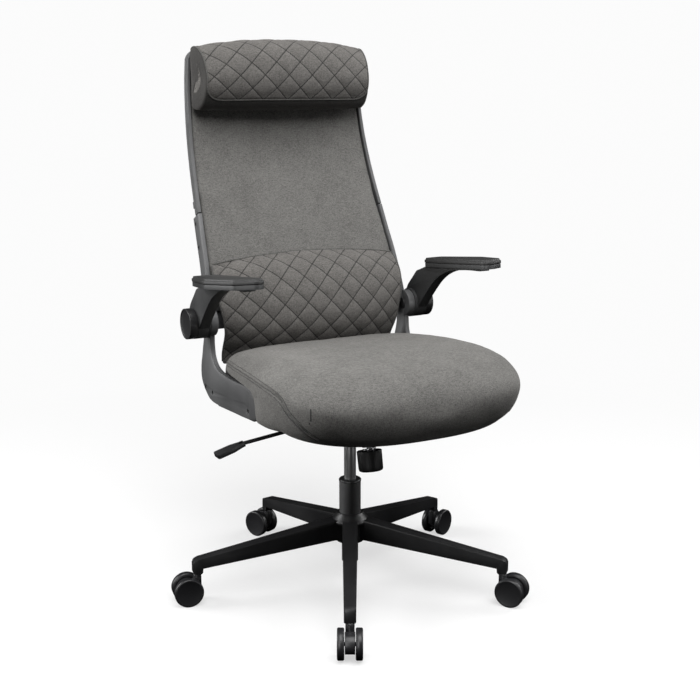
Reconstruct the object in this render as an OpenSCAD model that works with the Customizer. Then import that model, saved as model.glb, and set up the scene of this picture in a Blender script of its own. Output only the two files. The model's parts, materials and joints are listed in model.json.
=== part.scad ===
// High-back office chair on a five-star castor base: a padded back in a curved plastic frame,
// a headrest cushion, a quilted lumbar pad, flip-up arms, a gas column and a tilt mechanism.
// Frame: the origin is on the floor under the column, the front is -Y, up is +Z,
// and the sitter's right hand is on the -X side. Everything is in millimetres.

/* [Base] */
// Radius from the column to the end of each leg
base_r = 350; // [320:1:380]
// Angle of the first leg, counted from straight ahead
base_turn = -28; // [-36:1:36]
// Width of a leg at the hub
leg_w_hub = 33; // [28:1:40]
// Width of a leg at its end
leg_w_end = 24; // [22:1:30]
// Height of the top of a leg at its end
leg_end_z = 98; // [94:1:104]
// Height of the top of a leg at the hub
leg_hub_z = 153; // [140:1:160]

/* [Castors] */
// Wheel diameter
wheel_d = 62; // [56:1:63]
// Width of one wheel
wheel_w = 14; // [12:1:16]
// Gap between the two wheels
wheel_gap = 22; // [21:1:26]
// Distance from the stem back to the axle
castor_trail = 21; // [18:1:22]

/* [Column] */
// Radius of the stand tube
tube_r = 23.5; // [22:0.5:25]
// Height of the top of the stand tube
tube_top = 236; // [220:1:245]
// Radius of the gas cylinder
gas_r = 13; // [12:0.5:14]

/* [Seat] */
// Height of the underside of the seat board above the column
seat_z = 416; // [410:1:422]
// Upward slope of the seat towards the front, in degrees
seat_rake = 4; // [2:0.5:5]
// Full width of the cushion at its widest
seat_w = 544; // [520:1:560]
// Front edge of the cushion
seat_front = -368; // [-390:1:-360]
// Back edge of the cushion
seat_back = 161; // [156:1:163]
// Thickness of the cushion above the board at its crown
seat_h = 117; // [105:1:125]

/* [Back] */
// Full width of the back between the outer faces of the side brackets
frame_w = 500; // [490:1:510]
// Height of the top of the back frame
back_top = 1148; // [1130:1:1160]
// Height of the joint between the side brackets and the upper frame
seam_z = 803; // [780:1:820]
// Thickness of the back pad
pad_t = 16; // [12:1:18]

/* [Pads] */
// Half width of the headrest cushion at its front
head_half = 200; // [192:1:206]
// Half width of the lumbar pad
lumbar_half = 223; // [215:1:225]

/* [Arms] */
// Distance of the arm hinge behind the column
arm_y = 182; // [176:1:186]
// Height of the arm hinge
arm_z = 578; // [570:1:585]
// Radius of the arm hub and its cap
arm_hub_r = 33.5; // [30:0.5:34]
// Slope of the arm pads, in degrees
arm_rake = 6.3; // [4:0.1:8]

/* [Hidden] */
$fn = 48;

charcoal = [0.16, 0.165, 0.17];
black = [0.07, 0.07, 0.075];
cloth = [0.36, 0.355, 0.345];
steel = [0.62, 0.63, 0.65];

leg_turns = [for (k = [0:4]) base_turn + 72 * k];
// How far each castor has swung from pointing straight out
castor_swing = [0, -9, 0, 17, 0];
stem_at = base_r - 9;
stem_r = 5.5;
boss_z = 66;
running = 0.06;

pivot_y = -30;
pivot_z = 385;
pivot_r = 6;
plate_t = 4;
board_t = 12;
mech_half = 62;
mech_wall = 4;
mech_floor = 360;
mech_top = 398;
cam_x = -35;
cam_z = 378;
rod_z = 391;
knob_y = -94.5;
knob_z = 285;
knob_rake = 12;
knob_h = 44;
plate_bolt_at = [[-60, -95], [60, -95], [-60, 75], [60, 75]];
bracket_bolt_y = [-30, 40, 110];
bracket_bolt_x = 204;
bracket_t = 14;
side_screw_z = [738, 787];

// The front face of the back, seen from the side, is one cubic curve through (y, z)
curve = [[172, 520], [180, 730], [380, 872], [358, 1150]];
function bez(p, t) = pow(1 - t, 3) * p[0] + 3 * pow(1 - t, 2) * t * p[1]
    + 3 * (1 - t) * t * t * p[2] + pow(t, 3) * p[3];
function slope(p, t) = 3 * pow(1 - t, 2) * (p[1] - p[0]) + 6 * (1 - t) * t * (p[2] - p[1])
    + 3 * t * t * (p[3] - p[2]);
function t_of(z, t = 0.5, n = 7) = n == 0 ? t
    : t_of(z, t - (bez(curve, t)[1] - z) / slope(curve, t)[1], n - 1);
// A point on the back at side position x and height z, moved back by d
function on_back(x, z, d = 0) = let(t = t_of(z), p = bez(curve, t), s = slope(curve, t), m = norm(s))
    [x, p[0] + d * s[1] / m, p[1] - d * s[0] / m];
// Half the width of the back frame at height z
function half_w(z) = let(s = max(0, (z - 530) / 600)) frame_w / 2 - 50 * s + 12 * s * s;

// Half the width of the seat at depth y, wide at the front and a little narrower at the back
function seat_half(y) = seat_w / 2 * (1 - 0.12 * max(0, (y + 150) / 320));
// Seat outline as a superellipse, blunter at the back, pulled in by side and front amounts;
// blunt is the exponent of the front half
function seat_ring(side, front, blunt = 2.6, n = 48) = let(mid = -100) [for (i = [0:n - 1])
    let(a = 360 * i / n, s = sin(a), e = s < 0 ? blunt : 9,
        len = s < 0 ? mid - seat_front - front : seat_back - mid - side * 0.3,
        y = mid + sign(s) * len * pow(abs(s), 2 / e))
    [sign(cos(a)) * (seat_half(y) - side) * pow(abs(cos(a)), 2 / e), y]];

// Sum and mean of a ring's points, and its area vector
function total(r) = [for (p = r) 1] * r;
function middle(r) = total(r) / len(r);
function area_vector(r) = let(c = middle(r), n = len(r))
    total([for (j = [0:n - 1]) cross(r[j] - c, r[(j + 1) % n] - c)]);
function reversed(r) = [for (j = [len(r) - 1:-1:0]) r[j]];

// Closed solid through a list of rings
module loft(given) {
    flip = area_vector(given[0]) * (middle(given[1]) - middle(given[0])) < 0;
    rings = [for (r = given) flip ? reversed(r) : r];
    n = len(rings[0]);
    m = len(rings);
    points = concat([for (r = rings) each r], [middle(rings[0]), middle(rings[m - 1])]);
    sides = [for (i = [0:m - 2], j = [0:n - 1]) let(k = (j + 1) % n)
        each [[i * n + j, (i + 1) * n + j, (i + 1) * n + k], [i * n + j, (i + 1) * n + k, i * n + k]]];
    caps = [for (j = [0:n - 1]) let(k = (j + 1) % n)
        each [[m * n, j, k], [m * n + 1, (m - 1) * n + k, (m - 1) * n + j]]];
    polyhedron(points = points, faces = concat(sides, caps), convexity = 6);
}

// Extrudes a (y, z) outline along X, centred
module side_extrude(w) {
    rotate([90, 0, 90]) linear_extrude(height = w, center = true) children();
}

module along_x(from, to, r) {
    translate([from, 0, 0]) rotate([0, 90, 0]) cylinder(h = to - from, r = r);
}

// Places its children in the seat plane, whose z = 0 is the underside of the board
module on_seat() {
    translate([0, 0, seat_z]) rotate([-seat_rake, 0, 0]) children();
}

// Places its children on the axis of the tension knob, z = 0 at the knob's lower face
module on_knob() {
    translate([0, knob_y, knob_z]) rotate([-knob_rake, 0, 0]) children();
}

// Draws its children on the left side, and mirrored on the right side when s is -1
module on_side(s) {
    mirror([s < 0 ? 1 : 0, 0, 0]) children();
}

module both_sides() {
    for (s = [-1, 1]) on_side(s) children();
}

// ---- Base and column ----

module leg() {
    intersection() {
        side_extrude(leg_w_hub + 2) polygon([
            [-20, leg_hub_z + 2], [-30, leg_hub_z], [12 - base_r, leg_end_z + 1], [3 - base_r, leg_end_z - 3],
            [-base_r, leg_end_z - 9], [-base_r, boss_z + 3], [3 - base_r, boss_z], [17 - base_r, boss_z],
            [20 - base_r, boss_z + 3], [21 - base_r, boss_z + 12], [-40, leg_hub_z - 46], [-20, leg_hub_z - 47]
        ]);
        linear_extrude(height = leg_hub_z + 10) polygon([
            [-leg_w_hub / 2, -20], [-leg_w_end / 2, 8 - base_r], [3 - leg_w_end / 2, -base_r - 1],
            [leg_w_end / 2 - 3, -base_r - 1], [leg_w_end / 2, 8 - base_r], [leg_w_hub / 2, -20]
        ]);
    }
}

module star_base() {
    color(black) difference() {
        union() {
            rotate_extrude() polygon([
                [0, 100], [30, 100], [32, 102], [32, leg_hub_z - 8], [41, leg_hub_z - 8],
                [41, leg_hub_z - 4], [37, leg_hub_z], [28, leg_hub_z + 12], [0, leg_hub_z + 12]
            ]);
            for (a = leg_turns) rotate([0, 0, a]) leg();
        }
        cylinder(h = 300, r = tube_r);
        for (a = leg_turns) rotate([0, 0, a]) translate([0, -stem_at, boss_z - 1]) cylinder(h = 27, r = stem_r);
    }
}

module castor_stems() {
    color(steel) for (a = leg_turns) rotate([0, 0, a]) translate([0, -stem_at, 0]) {
        translate([0, 0, 38]) cylinder(h = boss_z - 38 + 25, r = stem_r);
        translate([0, 0, boss_z - 3.7]) cylinder(h = 3.6, r = 8);
    }
}

module stand_tube() {
    color(black) rotate_extrude() polygon([
        [8, 52], [18, 52], [18, 98], [tube_r, 108], [tube_r, tube_top], [tube_r - 2.5, tube_top],
        [tube_r - 2.5, 112], [15.5, 104], [15.5, 58], [8, 58]
    ]);
}

module guide_bush() {
    color(black) rotate_extrude() polygon([
        [gas_r + running, 160], [tube_r - 2.55, 160], [tube_r - 2.55, tube_top], [tube_r + 0.8, tube_top],
        [tube_r + 0.8, tube_top + 3], [tube_r - 1, tube_top + 5], [gas_r + running, tube_top + 5]
    ]);
}

module thrust_bearing() {
    color(steel) rotate_extrude() polygon([
        [5 + running, 58], [14, 58], [14, 60.5], [12.5, 60.5], [12.5, 63.5], [14, 63.5], [14, 66], [5 + running, 66]
    ]);
}

module piston_rod() {
    color(steel) union() {
        translate([0, 0, 46]) cylinder(h = 180, r = 5);
        translate([0, 0, 66.2]) cylinder(h = 4, r = 9);
        translate([0, 0, 222]) cylinder(h = 12, r = gas_r - 2.6);
    }
}

module rod_clip() {
    color(steel) difference() {
        translate([0, 0, 49.5]) cylinder(h = 2, r = 11);
        translate([0, 0, 49]) cylinder(h = 3, r = 5);
        translate([-2, -12, 49]) cube([4, 10, 3]);
    }
}

module gas_cylinder() {
    color(black) rotate_extrude() polygon([
        [5 + running, 150], [gas_r - 1, 150], [gas_r, 151], [gas_r, 374], [gas_r - 2, 378], [3 + running, 378],
        [3 + running, 345], [gas_r - 2.5, 345], [gas_r - 2.5, 156], [5 + running, 156]
    ]);
}

module valve_button() {
    color(steel) translate([0, 0, 352]) cylinder(h = 34, r = 3);
}

// ---- Castors ----

module castor(k) {
    rotate([0, 0, leg_turns[k]]) translate([0, -stem_at, 0]) rotate([0, 0, castor_swing[k]]) children();
}

module castor_hood(k) {
    axle_z = wheel_d / 2;
    color(black) castor(k) difference() {
        union() {
            intersection() {
                translate([0, -castor_trail, axle_z]) along_x(1 - wheel_gap / 2, wheel_gap / 2 - 1, wheel_d / 2 - 8);
                translate([-20, -60, 19]) cube([40, 80, 60]);
            }
            translate([0, 0, axle_z]) cylinder(h = boss_z - 4 - axle_z, r = 9);
            translate([0, -castor_trail, axle_z])
                along_x(1.6 - wheel_gap / 2 - wheel_w, wheel_gap / 2 + wheel_w - 1.6, 4);
        }
        translate([0, 0, 37]) cylinder(h = 40, r = stem_r + running);
    }
}

module wheel(k, s) {
    outer = wheel_gap / 2 + wheel_w;
    r = wheel_d / 2;
    color(black) castor(k) translate([0, -castor_trail, r]) on_side(s) rotate([0, 90, 0]) rotate_extrude() polygon([
        [4 + running, outer - 13.5], [9, outer - 13.5], [9, outer - 10], [r - 8, outer - 10],
        [r - 7, outer - wheel_w], [r - 2, outer - wheel_w], [r, outer - wheel_w + 2], [r, outer - 2],
        [r - 1.5, outer - 0.3], [r - 4, outer], [r - 6, outer - 0.8], [0, outer - 0.8],
        [0, outer - 1.4], [4 + running, outer - 1.4]
    ]);
}

// ---- Mechanism under the seat ----

module mechanism_housing() {
    color(black) difference() {
        union() {
            difference() {
                side_extrude(2 * mech_half) polygon([
                    [-128, mech_floor + 6], [-122, mech_floor], [58, mech_floor], [58, 372],
                    [-8, 372], [-20, mech_top], [-128, mech_top]
                ]);
                translate([-mech_half + mech_wall, -124, mech_floor + mech_wall])
                    cube([2 * (mech_half - mech_wall), 178, 60]);
            }
            translate([0, 0, 344]) cylinder(h = 30, r = 19);
            for (y = [-14, 10.2]) translate([cam_x - 6, y, mech_floor + 2]) cube([12, 3.8, cam_z - mech_floor + 4]);
            translate([cam_x, -14, cam_z]) rotate([-90, 0, 0]) cylinder(h = 28, r = 2.5);
        }
        translate([0, 0, 340]) cylinder(h = 60, r = gas_r);
        translate([0, pivot_y, pivot_z]) along_x(-80, 80, pivot_r);
        for (y = [-90, -78]) translate([0, y, mech_floor - 1]) cylinder(h = 6, r = 9);
        translate([-9, -90, mech_floor - 1]) cube([18, 12, 6]);
    }
}

module tilt_pin() {
    color(steel) translate([0, pivot_y, pivot_z]) {
        along_x(-72, 72, pivot_r);
        for (s = [-1, 1]) on_side(s) along_x(70, 73, pivot_r + 2);
    }
}

module lever_cam() {
    color(black) difference() {
        union() {
            translate([cam_x - 15, -9, cam_z - 6]) cube([30, 18, 25]);
            translate([cam_x + 14, -5, 386.2]) cube([27, 10, 6]);
        }
        translate([0, 0, rod_z]) along_x(cam_x - 16, cam_x + 12, 4 + running);
        translate([cam_x, -15, cam_z]) rotate([-90, 0, 0]) cylinder(h = 30, r = 2.5 + running);
    }
}

// Centre line of the lever rod in (x, z)
rod_line = [[-25, 391], [-78, 391], [-112, 372], [-250, 355.5]];

module lever_rod() {
    color(steel) for (i = [0:len(rod_line) - 2]) {
        a = rod_line[i];
        b = rod_line[i + 1];
        fall = atan2(a[1] - b[1], a[0] - b[0]);
        translate([a[0], 0, a[1]]) {
            rotate([0, -90 - fall, 0]) cylinder(h = norm(b - a), r = 4);
            if (i > 0) sphere(r = 4.2);
        }
    }
}

module lever_paddle() {
    color(black) translate([-247, 0, 356]) rotate([0, -16, 0]) difference() {
        union() {
            translate([-20, 0, -5]) linear_extrude(height = 9) polygon([
                [-44, -11], [-41, -14], [-8, -14], [12, -8], [20, -7], [20, 7], [12, 8], [-8, 14], [-41, 14], [-44, 11]
            ]);
        }
        rotate([0, 9.2, 0]) along_x(-12, 30, 4);
    }
}

module tilt_plate() {
    color(black) difference() {
        union() {
            on_seat() translate([-78, -118, -plate_t]) cube([156, 213, plate_t]);
            for (s = [-1, 1]) on_side(s) translate([65.5, 0, 0]) side_extrude(4) polygon([
                [-48, 415], [-42, 374], [-30, 371], [-18, 374], [-12, 413]
            ]);
        }
        translate([0, pivot_y, pivot_z]) along_x(-80, 80, pivot_r + running);
        on_seat() for (p = plate_bolt_at) translate([p[0], p[1], -10]) cylinder(h = 20, r = 3.3);
    }
}

module plate_bolts() {
    color(steel) on_seat() for (p = plate_bolt_at) translate([p[0], p[1], 0]) {
        translate([0, 0, -plate_t - 4]) cylinder(h = 4, r = 5.5);
        translate([0, 0, -plate_t]) cylinder(h = 15, r = 3);
    }
}

module tension_stud() {
    color(steel) on_knob() translate([0, 0, 13.5]) cylinder(h = 117, r = 5);
}

module tension_knob() {
    color(black) on_knob() rotate_extrude() polygon([
        [0, 0], [21, 0], [24.5, 1.5], [26, 5], [26.5, knob_h - 1], [25.5, knob_h], [21, knob_h],
        [20.5, 24], [5 + running, 24], [5 + running, 8], [0, 8]
    ]);
}

module spring_washer() {
    color(steel) on_knob() translate([0, 0, 24.2]) difference() {
        cylinder(h = 2, r = 18);
        translate([0, 0, -1]) cylinder(h = 4, r = 5 + running);
    }
}

// Compression spring as a round wire swept along a helix
module tension_spring() {
    turns = 6;
    wire_r = 2.2;
    coil_r = 12.5;
    low = 26.4 + wire_r;
    high = 72 - wire_r;
    steps = turns * 14;
    rings = [for (i = [0:steps])
        let(a = 360 * turns * i / steps, z = low + (high - low) * i / steps)
        [for (j = [0:7]) let(b = -45 * j, r = coil_r + wire_r * cos(b)) [r * cos(a), r * sin(a), z + wire_r * sin(b)]]];
    color(steel) on_knob() loft(rings);
}

// ---- Seat ----

module seat_board() {
    color([0.72, 0.55, 0.36]) on_seat() difference() {
        linear_extrude(height = board_t) polygon(seat_ring(30, 62));
        for (p = plate_bolt_at) translate([p[0], p[1], -1]) cylinder(h = 13, r = 3);
        both_sides() for (y = bracket_bolt_y) translate([bracket_bolt_x, y, -1]) cylinder(h = 13, r = 3);
    }
}

// Rings of the cushion from the crown down and under: side inset, front inset, share of the full height, roundness
seat_levels = [[90, 131, 1.01, 2.3], [30, 48, 0.985, 2.3], [12, 28, 0.91, 2.4], [3, 8, 0.78, 3], [0, 1, 0.62, 3.3],
    [0, 6, 0.42, 3.15], [0, 20, 0.2, 2.87], [3, 35, 0.06, 2.6], [11, 43, 0, 2.55]];
// The top is crowned along its depth, and the front edge hangs below the board
function seat_top(y) = seat_h - 0.00018 * (y + 50) * (y + 50);
function seat_sag(y) = 30 * pow(min(1, max(0, (-200 - y) / 160)), 0.7);
seat_pocket = seat_ring(29.5, 61.5);
seat_rings = concat(
    [for (l = seat_levels) [for (p = seat_ring(l[0], l[1], l[3]))
        [p[0], p[1], l[2] * seat_top(p[1]) - (1 - l[2]) * seat_sag(p[1])]]],
    [[for (p = seat_pocket) [p[0], p[1], -seat_sag(p[1])]], [for (p = seat_pocket) [p[0], p[1], board_t + 0.3]]]);

module seat_cushion() {
    color(cloth) difference() {
        on_seat() loft(seat_rings);
        both_sides() translate([frame_w / 2 - bracket_t - 1, -86, 380]) cube([60, 330, 106]);
    }
}

// ---- Side brackets ----

// Curve through given rows of numbers, k steps between each two
function between(a, b, c, d, t) = 0.5 * (2 * b + (c - a) * t + (2 * a - 5 * b + 4 * c - d) * t * t
    + (3 * b - a - 3 * c + d) * t * t * t);
function refine(s, k) = let(n = len(s)) concat([for (i = [0:n - 2], j = [0:k - 1])
    between(s[max(i - 1, 0)], s[i], s[i + 1], s[min(i + 2, n - 1)], j / k)], [s[n - 1]]);

// Stations of a bracket from the top seam down round the corner and forward along the seat:
// [inner edge y, z, outer edge y, z, thickness]
stations = refine([
    [271, 801.5, 303.5, 785.5, 10], [244.5, 746.7, 276, 731.4, 10], [219.5, 698, 251.5, 684, 10],
    [192, 625, 225, 617, 11.5], [175, 557, 211, 547, 13], [172, 524, 220, 502, 14], [164, 502, 231, 470, 14],
    [148, 487, 228, 441, 14], [126, 480, 203, 417, 14], [98, 477, 165, 404, 14], [50, 477, 62, 408, 14],
    [-20, 480, -15, 413, 14], [-55, 478, -58, 419, 14], [-71, 469, -73, 427, 13], [-76, 458, -76, 438, 10]
], 3);
// Sides of a bracket section: x inset and the share of the way from the inner to the outer edge
function bracket_ring(q) = let(x = half_w((q[1] + q[3]) / 2), c = 0.08, t = q[4])
    [for (e = [[0, c], [0, 1 - c], [2, 1], [t - 2, 1], [t, 1 - c], [t, c], [t - 2, 0], [2, 0]])
        [x - e[0], q[0] + (q[2] - q[0]) * e[1], q[1] + (q[3] - q[1]) * e[1]]];

module bracket() {
    difference() {
        union() {
            loft([for (q = stations) bracket_ring(q)]);
            translate([0, arm_y, arm_z]) along_x(frame_w / 2 - bracket_t, frame_w / 2 + 1.5, 30);
            on_seat() translate([184, -52, -5]) cube([frame_w / 2 - 4 - 184, 192, 4.8]);
        }
        translate([0, arm_y, arm_z]) {
            along_x(200, 260, 8);
            along_x(200, frame_w / 2 - bracket_t, 12.4);
        }
        on_seat() for (y = bracket_bolt_y) translate([bracket_bolt_x, y, -10]) cylinder(h = 20, r = 3.3);
        for (z = side_screw_z) translate([half_w(z) - 12, on_back(0, z, 25)[1], on_back(0, z, 25)[2]]) {
            along_x(-10, 20, 2.6);
            along_x(8.5, 20, 5);
        }
        // shallow recess along the lower edge, with its two screw wells
        translate([frame_w / 2, 0, 0]) side_extrude(4) polygon([
            [205, 436], [150, 432], [40, 438], [-20, 446], [-38, 440], [-42, 400], [215, 390]
        ]);
        for (p = [[168, 424], [-26, 430]]) translate([frame_w / 2 - 8, p[0], p[1]]) along_x(0, 20, 4.5);
    }
}

module right_bracket() { color(charcoal) on_side(-1) bracket(); }
module left_bracket() { color(charcoal) on_side(1) bracket(); }

module bracket_bolts() {
    color(steel) on_seat() both_sides() for (y = bracket_bolt_y) translate([bracket_bolt_x, y, 0]) {
        translate([0, 0, -9]) cylinder(h = 4, r = 5.5);
        translate([0, 0, -5]) cylinder(h = 16, r = 3);
    }
}

// Cross screws that fix the upper frame in the brackets
module side_screws() {
    color(black) both_sides() for (z = side_screw_z) {
        p = on_back(half_w(z), z, 25);
        translate(p) {
            along_x(-20, -3.5, 2.5);
            along_x(-3.5, -1.5, 4.5);
        }
    }
}

// ---- Back ----

// Frame outline as [x, z, inward x, inward z], up one side, round the corner and to the middle of the top
corner_r = 26;
frame_side = [for (z = [seam_z + 0.6:(back_top - corner_r - seam_z) / 10:back_top - corner_r]) [half_w(z), z, -1, 0]];
frame_corner = [for (a = [15:15:90]) let(c = half_w(back_top - corner_r) - corner_r)
    [c + corner_r * cos(a), back_top - corner_r + corner_r * sin(a), -cos(a), -sin(a)]];
frame_half = concat(frame_side, frame_corner);
frame_path = concat(frame_half, [for (i = [len(frame_half) - 1:-1:0]) let(p = frame_half[i]) [-p[0], p[1], -p[2], p[3]]]);
rail_w = 8;
rail_d = 21;
// Section of the rail: [inward distance, depth], with a groove along its outer face
rail_section = [[1.5, 0], [0, 1.5], [0, 7], [1.4, 8], [1.4, 10], [0, 11], [0, rail_d - 2], [2, rail_d],
    [rail_w - 1, rail_d], [rail_w, rail_d - 1], [rail_w, 1], [rail_w - 1, 0]];

module back_frame() {
    color(charcoal) difference() {
        union() {
            loft([for (p = frame_path) [for (e = rail_section) on_back(p[0] + p[2] * e[0], p[1] + p[3] * e[0], e[1])]]);
            // tongues that reach down behind the pad into the brackets
            both_sides() {
                loft([for (z = [836:-12:704]) let(x = half_w(z))
                    [for (e = [[11, 21.6], [11, 29], [22, 29], [22, 21.6]]) on_back(x - e[0], z, e[1])]]);
                loft([for (z = [833, 820]) let(x = half_w(z))
                    [for (e = [[1, 19.5], [1, 27], [18, 27.5], [18, 24], [6, 19.5]]) on_back(x - e[0], z, e[1])]]);
            }
        }
        both_sides() for (z = side_screw_z) translate(on_back(half_w(z), z, 25)) along_x(-25, 0, 2.6);
    }
}

// Room left at each side of the pad for the rail, and lower down for the bracket
function pad_edge(z) = lookup(z, [[600, 14], [640, 13], [700, 11.2], [838, 11.2], [850, 9.5],
    [back_top - 30, 9.5], [back_top - 13, 15.5]]);
// Slab that follows the back between two heights and two depths
module back_slab(z0, z1, d0, d1, edge, steps) {
    loft([for (i = [0:steps]) let(z = z0 + (z1 - z0) * i / steps, x = half_w(z) - edge - pad_edge(z))
        [for (e = [[1, 0], [1, 1], [-1, 1], [-1, 0]]) on_back(e[0] * x, z, d0 + (d1 - d0) * e[1])]]);
}

module back_shell() {
    color(charcoal) back_slab(600, back_top - 13, pad_t + 0.4, rail_d - 0.4, 0, 30);
}

module back_yoke() {
    color(charcoal) back_slab(560, 680, rail_d + 0.2, rail_d + 12, 3, 5);
}

module back_pad() {
    color(cloth) back_slab(640, back_top - 13, 0.5, pad_t, 0, 30);
}

// The lumbar pad at heights up the back: [z, half width, edge depth, crown in front of the edge]
lumbar_rows = refine([
    [495, 196, 29, 27], [520, 201, 19, 34], [550, 209, 0, 37], [575, 216, -9, 35], [600, 223, -14, 33],
    [630, 229, -15.5, 31], [660, 229, -14, 26], [680, 226.5, -9, 19], [692, 224.5, -4.5, 11], [699, 222, -2, 3]
], 2);
// One section of it, [x, depth], from the right edge over the front and back behind
function lumbar_ring(q) = let(w = lumbar_half / 223 * q[1])
    concat([for (u = [-1:0.125:1]) on_back(u * w, q[0], q[2] - q[3] * pow(1 - pow(abs(u), 2.6), 0.8))],
        [for (u = [0.98, 0.5, 0, -0.5, -0.98]) on_back(u * w, q[0], min(q[2] + 6, q[0] > 625 ? -0.4 : 99))]);

module lumbar_pad() {
    color(cloth) loft([for (q = lumbar_rows) lumbar_ring(q)]);
}

// Side outlines of the headrest in (y, z), at its middle and at its ends
head_mid = [[346, 1021], [318, 1019], [293, 1027], [277, 1042], [266, 1064], [262, 1090], [265, 1118], [275, 1145],
    [291, 1163], [314, 1173], [336, 1172], [352, 1163], [357, 1148]];
head_end = [[352, 1024], [330, 1021], [309, 1029], [296, 1041], [284, 1060], [279, 1085], [284, 1108], [296, 1130],
    [312, 1146], [332, 1155], [348, 1155], [356, 1150], [357.5, 1142]];
// One section: u runs from -1 to 1 across the width, inset pulls the outline in; the ends taper to the front
function head_ring(u, inset) = let(c = [318, 1090]) [for (i = [0:len(head_mid) - 1])
    let(p = head_mid[i] + (head_end[i] - head_mid[i]) * pow(abs(u), 2.4), d = p - c, q = p - d * inset / norm(d))
    [u * (head_half + (p[0] - 279) * 0.11), p[0] > 345 ? p[0] : q[0], q[1]]];

module headrest_pad() {
    color(cloth) loft([for (u = concat([-1, -0.993, -0.975, -0.93], [for (k = [-5:5]) k * 0.17], [0.93, 0.975, 0.993, 1]))
        head_ring(u, lookup(abs(u), [[0.975, 0], [0.993, 1.5], [1, 5]]))]);
}

// ---- Arms ----

module arm_pivots() {
    color(steel) both_sides() translate([0, arm_y, arm_z]) {
        along_x(frame_w / 2 - 17.5, frame_w / 2 + 32.6, 8);
        along_x(frame_w / 2 + 32.6, frame_w / 2 + 38, 13);
        along_x(frame_w / 2 - 17.5, frame_w / 2 - bracket_t, 12);
    }
}

// Outline of the stalk in (y, z): the curve under the pad, down to the hub, and the back edge up to the pad
stalk_front = refine([[-100, 689], [-62, 686], [-30, 682], [14, 674.5], [50, 661.5], [78, 644.5], [103, 622],
    [130, 594], [150, 570]], 3);
stalk_back = refine([[206, 600], [196, 618], [178, 636], [166, 648], [158, 655.5], [146, 660]], 3);

module arm_stalk() {
    difference() {
        union() {
            translate([frame_w / 2 + 20, 0, 0]) side_extrude(24)
                polygon(concat(stalk_front, [[182, 550]], stalk_back, [[120, 669.7], [-100, 693.9]]));
            translate([0, arm_y, arm_z]) along_x(frame_w / 2 + 2, frame_w / 2 + 32, arm_hub_r);
        }
        translate([0, arm_y, arm_z]) along_x(frame_w / 2, frame_w / 2 + 40, 8 + running);
        on_pad() for (y = [-60, 60]) translate([270, y, -8]) cylinder(h = 12, r = 2.6);
        // fine rings turned into the hub beside the bracket
        for (x = [4, 7]) translate([0, arm_y, arm_z]) difference() {
            along_x(frame_w / 2 + x, frame_w / 2 + x + 1.2, arm_hub_r + 1);
            along_x(frame_w / 2 + x - 1, frame_w / 2 + x + 3, arm_hub_r - 1.2);
        }
    }
}

module on_pad() {
    translate([0, 0, 683]) rotate([-arm_rake, 0, 0]) children();
}

// Outline of the arm pad in plan: straight inside, bowed outside, skewed front
module pad_outline(grow = 0) {
    spots = [[266, -118, 17], [292, -100, 17], [309, -10, 20], [294, 112, 13], [264, 108, 12]];
    hull() for (p = spots) translate([p[0], p[1]]) circle(r = p[2] + grow, $fn = 32);
}

module arm_plate() {
    difference() {
        on_pad() linear_extrude(height = 9) pad_outline(-0.5);
        on_pad() for (y = [-60, 60]) translate([270, y, -5]) cylinder(h = 10, r = 2.6);
    }
}

module arm_pad() {
    on_pad() {
        translate([0, 0, 9.6]) linear_extrude(height = 7) pad_outline(0.5);
        translate([0, 0, 16.4]) linear_extrude(height = 4) pad_outline(-2.5);
    }
}

module arm_cap() {
    translate([0, arm_y, arm_z]) difference() {
        along_x(frame_w / 2 + 32.2, frame_w / 2 + 50, arm_hub_r - 0.5);
        along_x(frame_w / 2 + 30, frame_w / 2 + 39, 16);
        along_x(frame_w / 2 + 48.6, frame_w / 2 + 55, arm_hub_r - 4);
    }
}

module arm_screws() {
    on_pad() for (y = [-60, 60]) translate([270, y, 0]) {
        translate([0, 0, -3]) cylinder(h = 7.5, r = 2.5);
    }
}

module right_arm_stalk() { color(black) on_side(-1) arm_stalk(); }
module left_arm_stalk() { color(black) on_side(1) arm_stalk(); }
module right_arm_plate() { color(black) on_side(-1) arm_plate(); }
module left_arm_plate() { color(black) on_side(1) arm_plate(); }
module right_arm_pad() { color(black) on_side(-1) arm_pad(); }
module left_arm_pad() { color(black) on_side(1) arm_pad(); }
module right_arm_cap() { color(black) on_side(-1) arm_cap(); }
module left_arm_cap() { color(black) on_side(1) arm_cap(); }
module right_arm_screws() { color(steel) on_side(-1) arm_screws(); }
module left_arm_screws() { color(steel) on_side(1) arm_screws(); }

star_base();
castor_stems();
stand_tube();
guide_bush();
thrust_bearing();
castor_hood(0);  // castor_hood_1
castor_hood(1);  // castor_hood_2
castor_hood(2);  // castor_hood_3
castor_hood(3);  // castor_hood_4
castor_hood(4);  // castor_hood_5
wheel(0, -1);  // wheel_1a
wheel(0, 1);  // wheel_1b
wheel(1, -1);  // wheel_2a
wheel(1, 1);  // wheel_2b
wheel(2, -1);  // wheel_3a
wheel(2, 1);  // wheel_3b
wheel(3, -1);  // wheel_4a
wheel(3, 1);  // wheel_4b
wheel(4, -1);  // wheel_5a
wheel(4, 1);  // wheel_5b
piston_rod();
rod_clip();
gas_cylinder();
valve_button();
mechanism_housing();
tilt_pin();
lever_cam();
lever_rod();
lever_paddle();
tilt_plate();
plate_bolts();
tension_stud();
spring_washer();
tension_spring();
tension_knob();
seat_board();
seat_cushion();
right_bracket();
left_bracket();
bracket_bolts();
side_screws();
back_frame();
back_shell();
back_yoke();
back_pad();
lumbar_pad();
headrest_pad();
arm_pivots();
right_arm_stalk();
right_arm_plate();
right_arm_pad();
right_arm_cap();
right_arm_screws();
left_arm_stalk();
left_arm_plate();
left_arm_pad();
left_arm_cap();
left_arm_screws();
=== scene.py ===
"""Looks of the high-back office chair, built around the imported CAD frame. Metres, -Y is the front, +Z is up."""
import json
import math

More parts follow.
